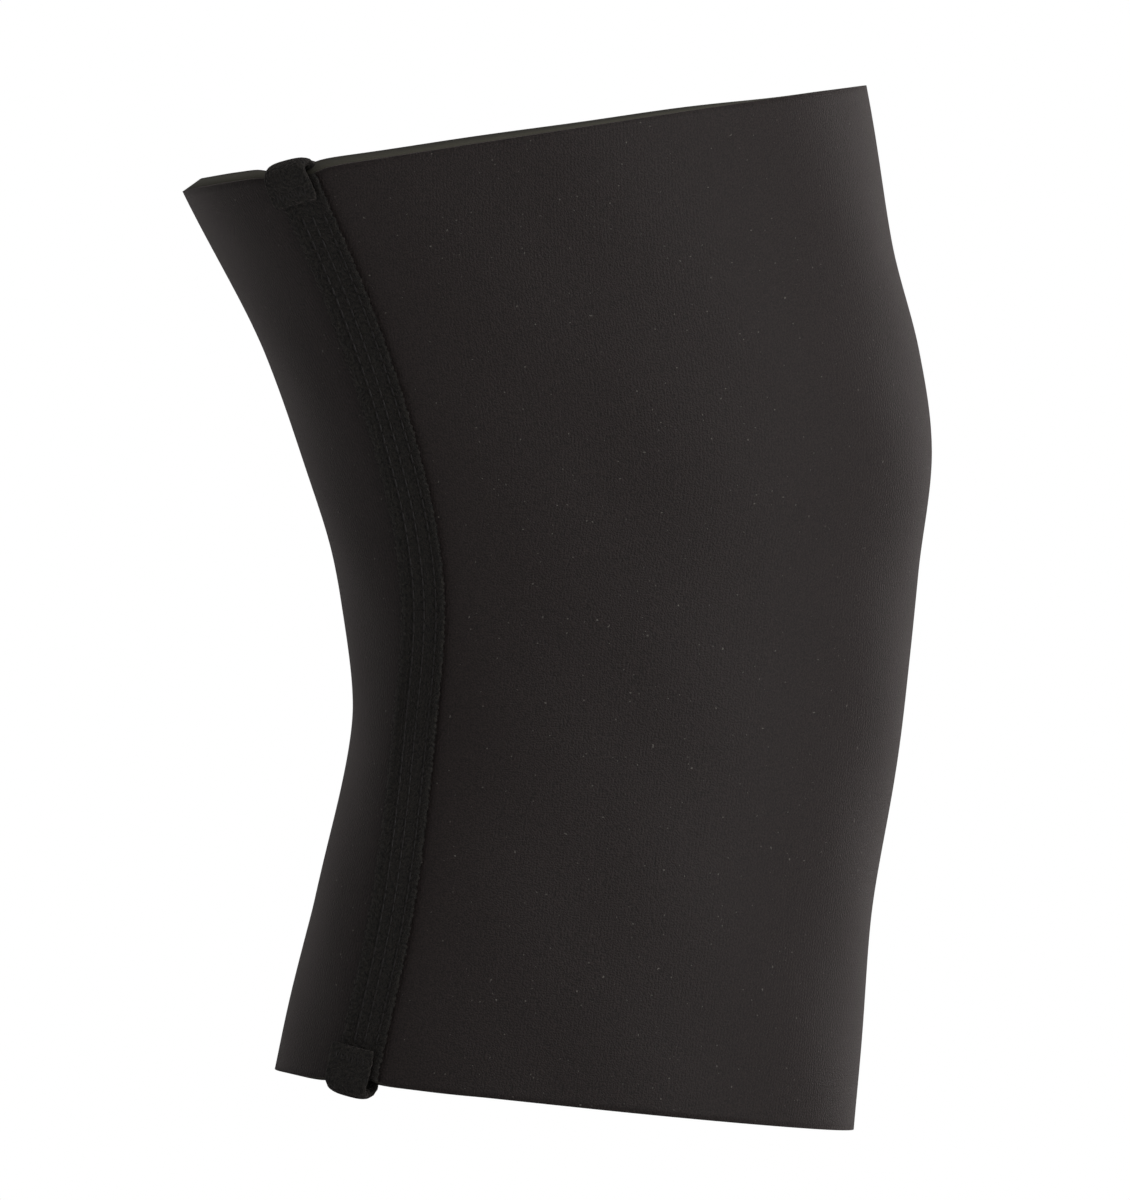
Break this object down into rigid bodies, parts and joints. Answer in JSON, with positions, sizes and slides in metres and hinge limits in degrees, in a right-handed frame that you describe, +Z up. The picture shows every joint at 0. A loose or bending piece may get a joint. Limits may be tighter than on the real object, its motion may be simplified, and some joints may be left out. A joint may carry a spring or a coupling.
{
  "type": "knee sleeve",
  "caption": "Pull-on knee sleeve of knit-faced foam rubber: a front and a back panel joined by two taped side seams, with a folded tab at each seam end.",
  "frame": {"origin": "middle of the sleeve's bounding box, at the level it stands on", "axes": "+Z up the leg, +X out of the kneecap, Y across the leg; Y = 0 is the plane of symmetry"},
  "size_m": [0.1848, 0.1386, 0.2509],
  "materials": {
    "outer_knit": "fine jersey knit, near black",
    "foam": "closed-cell foam rubber, matt",
    "lining": "fine jersey knit, near black",
    "tape": "knitted binding tape, black",
    "tab": "knitted binding tape, black",
    "thread": "bonded nylon thread, black"
  },
  "bodies": {
    "calf": {"back_foam_calf": "foam", "back_foam_knee": "foam", "back_knit_calf": "outer_knit", "back_knit_knee": "outer_knit", "back_lining_calf": "lining", "back_lining_knee": "lining", "front_foam_calf": "foam", "front_foam_knee": "foam", "front_knit_calf": "outer_knit", "front_knit_knee": "outer_knit", "front_lining_calf": "lining", "front_lining_knee": "lining", "left_bartack_calf": "thread", "left_cover_thread_calf": "thread", "left_cover_thread_knee": "thread", "left_needle_thread_calf": "thread", "left_needle_thread_knee": "thread", "left_tab_calf": "tab", "left_tape_calf": "tape", "left_tape_knee": "tape", "right_bartack_calf": "thread", "right_cover_thread_calf": "thread", "right_cover_thread_knee": "thread", "right_needle_thread_calf": "thread", "right_needle_thread_knee": "thread", "right_tab_calf": "tab", "right_tape_calf": "tape", "right_tape_knee": "tape"},
    "thigh": {"back_foam_thigh": "foam", "back_knit_thigh": "outer_knit", "back_lining_thigh": "lining", "front_foam_thigh": "foam", "front_knit_thigh": "outer_knit", "front_lining_thigh": "lining", "left_bartack_thigh": "thread", "left_cover_thread_thigh": "thread", "left_needle_thread_thigh": "thread", "left_tab_thigh": "tab", "left_tape_thigh": "tape", "right_bartack_thigh": "thread", "right_cover_thread_thigh": "thread", "right_needle_thread_thigh": "thread", "right_tab_thigh": "tab", "right_tape_thigh": "tape"}
  },
  "joints": [
    {"name": "knee_flexion", "type": "hinge", "parent": "calf", "child": "thigh", "pos_m": [0.006, 0, 0.118], "axis": [0, -1, 0], "range_deg": [-23, 67], "stiffness_Nm_per_rad": 0.6, "deforming": ["back_foam_knee", "back_knit_knee", "back_lining_knee", "front_foam_knee", "front_knit_knee", "front_lining_knee", "left_cover_thread_knee", "left_needle_thread_knee", "left_tape_knee", "right_cover_thread_knee", "right_needle_thread_knee", "right_tape_knee"]}
  ]
}
